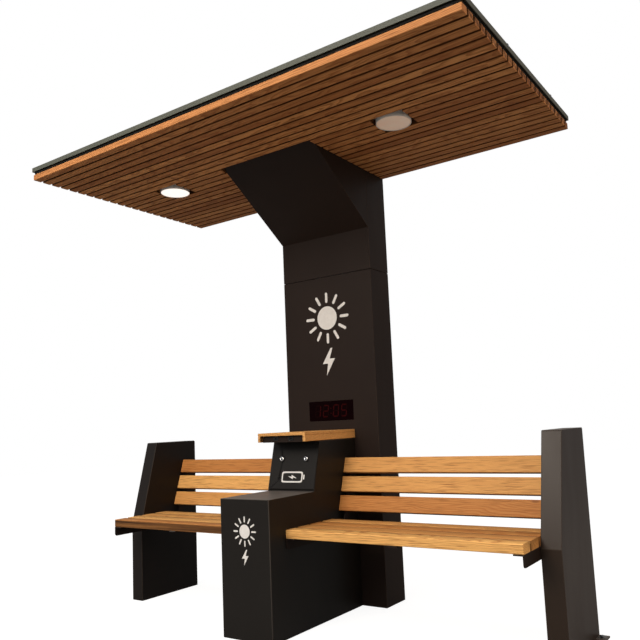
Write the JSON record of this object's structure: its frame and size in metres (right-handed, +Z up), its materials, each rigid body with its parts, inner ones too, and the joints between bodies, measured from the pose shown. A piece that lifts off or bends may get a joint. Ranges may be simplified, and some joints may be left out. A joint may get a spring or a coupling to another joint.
{
  "type": "solar charging bench",
  "caption": "Street bench with slatted seats and backrests either side of a steel column, a slatted solar roof with lamps, and a charging console with sockets, a wood tray and a service door.",
  "frame": {"origin": "on the ground, under the middle of the roof, which is the middle of the whole bounding box", "axes": "+X along the bench, to the right of someone who looks at its front; +Y from the front to the back, so people sit facing -Y; +Z up"},
  "size_m": [2.422, 1.18, 2.25],
  "materials": {
    "powder_coat": "fine matt powder coat",
    "rim_coat": "satin powder coat",
    "bare_steel": "galvanised",
    "chrome": "polished",
    "bench_wood": "oiled hardwood slats",
    "roof_wood": "oiled hardwood slats",
    "tray_wood": "oiled hardwood board",
    "black_plastic": "fine texture",
    "battery_case": "moulded case",
    "lead_rubber": "cable sheath",
    "display_glass": "dark red filter over a numeric display",
    "solar_glass": "laminate with dark blue cells",
    "lamp_white": "white enamel",
    "lamp_diffuser": "opal diffuser"
  },
  "bodies": {
    "bench": {"column_shell_lower": "powder_coat", "column_shell_upper": "powder_coat", "column_rear_cover": "powder_coat", "base_plate": "bare_steel", "column_post": "bare_steel", "arm_bracket": "bare_steel", "arm_cover": "powder_coat", "display_window": "display_glass", "display_module": "black_plastic", "panel_lead": "lead_rubber", "door_hinge_pin": "bare_steel", "console_shell": "powder_coat", "battery_shelf": "bare_steel", "battery": "battery_case", "charge_controller": "black_plastic", "tray_top": "tray_wood", "tray_side_left": "tray_wood", "tray_side_right": "tray_wood", "socket_plate": "powder_coat", "usb_socket_left": "black_plastic", "usb_socket_right": "black_plastic", "roof_slats_front": "roof_wood", "roof_slats_left": "roof_wood", "roof_slats_right": "roof_wood", "roof_beam_front": "bare_steel", "roof_beam_rear": "bare_steel", "roof_rail_outer_left": "bare_steel", "roof_rail_inner_left": "bare_steel", "roof_rail_inner_right": "bare_steel", "roof_rail_outer_right": "bare_steel", "roof_tray": "rim_coat", "solar_panel_left": "solar_glass", "solar_panel_right": "solar_glass", "junction_box": "black_plastic", "lamp_housing_left": "lamp_white", "lamp_diffuser_left": "lamp_diffuser", "lamp_housing_right": "lamp_white", "lamp_diffuser_right": "lamp_diffuser", "seat_slat_left_1": "bench_wood", "seat_slat_left_2": "bench_wood", "seat_slat_left_3": "bench_wood", "seat_slat_left_4": "bench_wood", "back_slat_left_1": "bench_wood", "back_slat_left_2": "bench_wood", "back_slat_left_3": "bench_wood", "seat_frame_left": "powder_coat", "end_support_left": "powder_coat", "seat_slat_right_1": "bench_wood", "seat_slat_right_2": "bench_wood", "seat_slat_right_3": "bench_wood", "seat_slat_right_4": "bench_wood", "back_slat_right_1": "bench_wood", "back_slat_right_2": "bench_wood", "back_slat_right_3": "bench_wood", "seat_frame_right": "powder_coat", "end_support_right": "powder_coat"},
    "door": {"console_door": "powder_coat"},
    "left_lock": {"lock_left": "chrome"},
    "right_lock": {"lock_right": "chrome"}
  },
  "joints": [
    {"name": "door_hinge", "type": "hinge", "parent": "bench", "child": "door", "pos_m": [-0.095, 0.05876, 0.59916], "axis": [1, 0, 0], "range_deg": [0, 95]},
    {"name": "left_lock_turn", "type": "hinge", "parent": "door", "child": "left_lock", "pos_m": [-0.167, 0.08738, 0.73657], "axis": [0, -0.9694, 0.2455], "range_deg": [0, 90]},
    {"name": "right_lock_turn", "type": "hinge", "parent": "door", "child": "right_lock", "pos_m": [-0.023, 0.08738, 0.73657], "axis": [0, 0.9694, -0.2455], "range_deg": [0, 90]}
  ]
}
